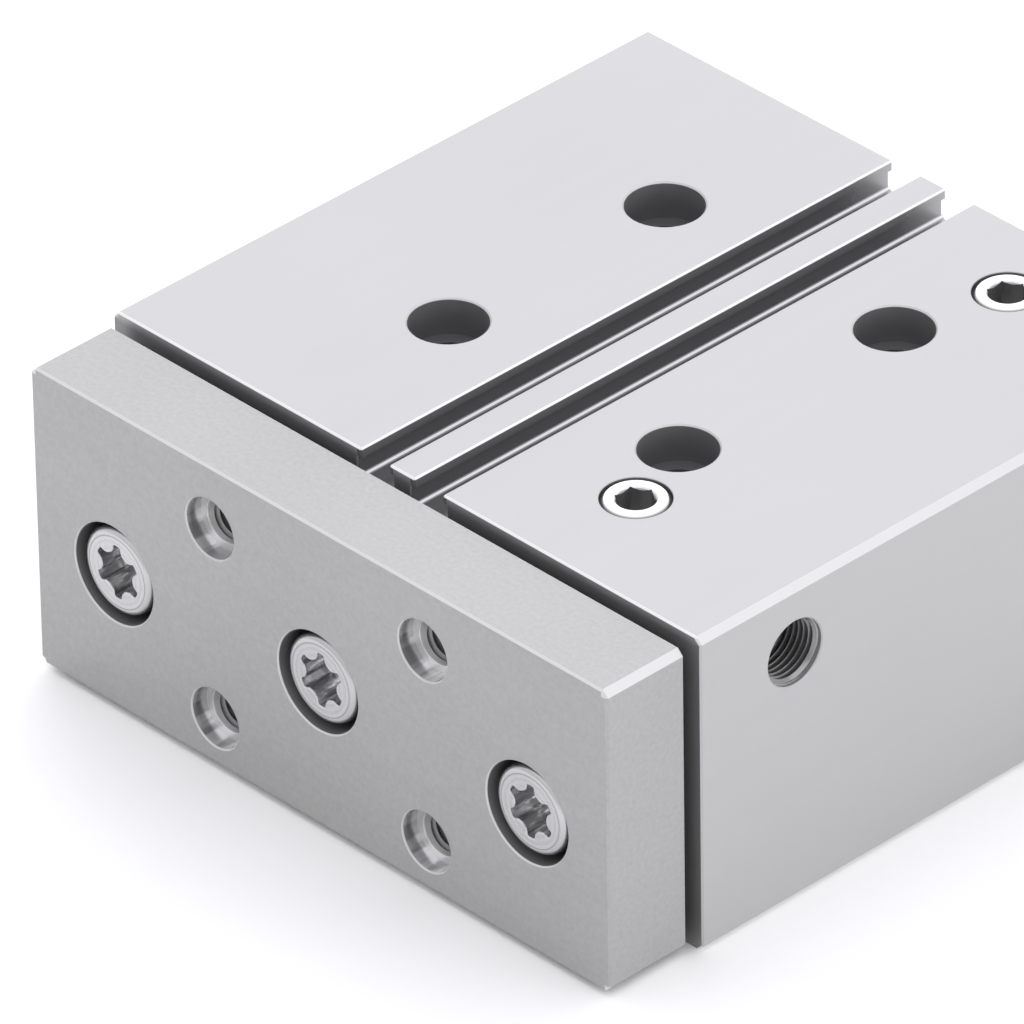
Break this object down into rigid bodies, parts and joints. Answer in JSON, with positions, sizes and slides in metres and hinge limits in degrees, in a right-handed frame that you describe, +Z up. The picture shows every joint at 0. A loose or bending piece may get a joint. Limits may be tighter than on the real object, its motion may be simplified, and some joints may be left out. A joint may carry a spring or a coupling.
{
  "type": "guided pneumatic cylinder",
  "caption": "Compact guided pneumatic cylinder: a bored block with sensor slots and ports, whose piston rod and two guide rods push out a tapped yoke plate.",
  "frame": {"origin": "middle of the outer box, on the face that the body stands on", "axes": "+Z up, towards the face with the sensor slots; -Y towards the yoke plate, the way the rods move out; +X towards the face with the side ports"},
  "size_m": [0.11, 0.1142, 0.049],
  "materials": {
    "housing_aluminium": "clear anodised, fine lengthwise grain",
    "plate_aluminium": "anodised, matt",
    "cap_aluminium": "turned",
    "screw_steel": "zinc plated",
    "plug_nickel": "nickel plated",
    "spring_steel": "phosphated",
    "hard_chrome": "hard chrome, ground",
    "bush_bronze": "sintered bronze",
    "seal_rubber": "moulded",
    "cushion_rubber": "moulded",
    "wear_plastic": "filled plastic strip",
    "magnet_plastic": "plastic-bonded magnet"
  },
  "bodies": {
    "housing_unit": {"housing": "housing_aluminium", "front_cap": "cap_aluminium", "rear_cap": "cap_aluminium", "front_cap_seal": "seal_rubber", "rear_cap_seal": "seal_rubber", "front_cushion": "cushion_rubber", "rear_cushion": "cushion_rubber", "front_retaining_ring": "spring_steel", "rear_retaining_ring": "spring_steel", "rod_bush": "bush_bronze", "rod_wiper": "seal_rubber", "rod_seal": "seal_rubber", "guide_bush_left_front": "bush_bronze", "guide_bush_left_rear": "bush_bronze", "guide_bush_right_front": "bush_bronze", "guide_bush_right_rear": "bush_bronze", "guide_wiper_left": "seal_rubber", "guide_wiper_right": "seal_rubber", "port_plug_front": "plug_nickel", "port_plug_rear": "plug_nickel"},
    "moving_yoke": {"yoke_plate": "plate_aluminium", "yoke_screw_centre": "screw_steel", "yoke_screw_left": "screw_steel", "yoke_screw_right": "screw_steel", "piston_rod": "hard_chrome", "piston_front": "cap_aluminium", "piston_rear": "cap_aluminium", "piston_seal_front": "seal_rubber", "piston_seal_rear": "seal_rubber", "piston_magnet": "magnet_plastic", "piston_wear_ring": "wear_plastic", "piston_screw": "screw_steel", "guide_rod_left": "hard_chrome", "guide_rod_right": "hard_chrome"}
  },
  "joints": [
    {"name": "stroke_slide", "type": "slide", "parent": "housing_unit", "child": "moving_yoke", "axis": [0, -1, 0], "range_m": [0, 0.04]}
  ]
}
